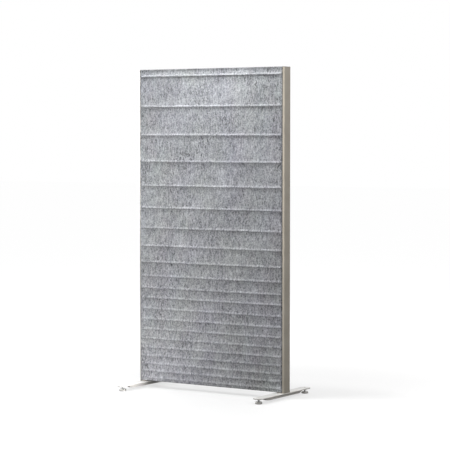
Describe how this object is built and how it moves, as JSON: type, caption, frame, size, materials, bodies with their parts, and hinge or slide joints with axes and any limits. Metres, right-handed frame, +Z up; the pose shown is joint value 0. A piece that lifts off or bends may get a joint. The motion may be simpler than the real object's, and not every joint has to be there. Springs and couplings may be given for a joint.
{
  "type": "acoustic divider screen",
  "caption": "Free-standing acoustic screen: ridged moulded felt on both faces of an aluminium frame with a wadding core, on two flat feet with screw-in levelling glides.",
  "frame": {"origin": "centre of the footprint on the floor, under the middle of the panel", "axes": "+X along the panel, towards the right post seen from the front; -Y is the front; +Z up"},
  "size_m": [0.8, 0.45, 1.5],
  "materials": {
    "post_aluminium": "satin natural anodised extrusion",
    "rail_aluminium": "mill finish extrusion",
    "bracket_zinc": "zinc plated pressing",
    "screw_steel": "zinc plated",
    "felt_grey": "moulded melange polyester felt, matt",
    "wadding_white": "fleecy polyester wadding",
    "board_brown": "smooth hardboard",
    "cap_plastic": "fine texture",
    "foot_casting": "satin silver lacquer on die-cast aluminium",
    "glide_metal": "bright nickel, lightly brushed",
    "pad_plastic": "smooth",
    "stud_steel": "zinc plated thread"
  },
  "bodies": {
    "screen": {"left_post": "post_aluminium", "right_post": "post_aluminium", "top_rail": "rail_aluminium", "bottom_rail": "rail_aluminium", "top_left_bracket": "bracket_zinc", "top_right_bracket": "bracket_zinc", "bottom_left_bracket": "bracket_zinc", "bottom_right_bracket": "bracket_zinc", "bracket_screws": "screw_steel", "front_felt_shell": "felt_grey", "back_felt_shell": "felt_grey", "front_wadding": "wadding_white", "septum_board": "board_brown", "back_wadding": "wadding_white", "left_post_cap": "cap_plastic", "right_post_cap": "cap_plastic", "left_foot": "foot_casting", "right_foot": "foot_casting", "foot_screws": "screw_steel", "foot_washers": "screw_steel"},
    "left_front_base": {"left_front_glide": "glide_metal", "left_front_pad": "pad_plastic"},
    "left_front_screw": {"left_front_stud": "stud_steel"},
    "left_back_base": {"left_back_glide": "glide_metal", "left_back_pad": "pad_plastic"},
    "left_back_screw": {"left_back_stud": "stud_steel"},
    "right_front_base": {"right_front_glide": "glide_metal", "right_front_pad": "pad_plastic"},
    "right_front_screw": {"right_front_stud": "stud_steel"},
    "right_back_base": {"right_back_glide": "glide_metal", "right_back_pad": "pad_plastic"},
    "right_back_screw": {"right_back_stud": "stud_steel"}
  },
  "joints": [
    {"name": "left_front_level", "type": "slide", "parent": "screen", "child": "left_front_base", "axis": [0, 0, -1], "range_m": [-0.007, 0.004]},
    {"name": "left_front_turn", "type": "hinge", "parent": "left_front_base", "child": "left_front_screw", "pos_m": [-0.375, -0.2, 0], "axis": [0, 0, -1], "range_deg": [-2020, 1156]},
    {"name": "left_back_level", "type": "slide", "parent": "screen", "child": "left_back_base", "axis": [0, 0, -1], "range_m": [-0.007, 0.004]},
    {"name": "left_back_turn", "type": "hinge", "parent": "left_back_base", "child": "left_back_screw", "pos_m": [-0.375, 0.2, 0], "axis": [0, 0, -1], "range_deg": [-2020, 1156]},
    {"name": "right_front_level", "type": "slide", "parent": "screen", "child": "right_front_base", "axis": [0, 0, -1], "range_m": [-0.007, 0.004]},
    {"name": "right_front_turn", "type": "hinge", "parent": "right_front_base", "child": "right_front_screw", "pos_m": [0.375, -0.2, 0], "axis": [0, 0, -1], "range_deg": [-2020, 1156]},
    {"name": "right_back_level", "type": "slide", "parent": "screen", "child": "right_back_base", "axis": [0, 0, -1], "range_m": [-0.007, 0.004]},
    {"name": "right_back_turn", "type": "hinge", "parent": "right_back_base", "child": "right_back_screw", "pos_m": [0.375, 0.2, 0], "axis": [0, 0, -1], "range_deg": [-2020, 1156]}
  ],
  "couplings": [
    {"joint": "left_front_turn", "follows": "left_front_level", "rad_per_m": 5026.5},
    {"joint": "left_back_turn", "follows": "left_back_level", "rad_per_m": 5026.5},
    {"joint": "right_front_turn", "follows": "right_front_level", "rad_per_m": 5026.5},
    {"joint": "right_back_turn", "follows": "right_back_level", "rad_per_m": 5026.5}
  ]
}
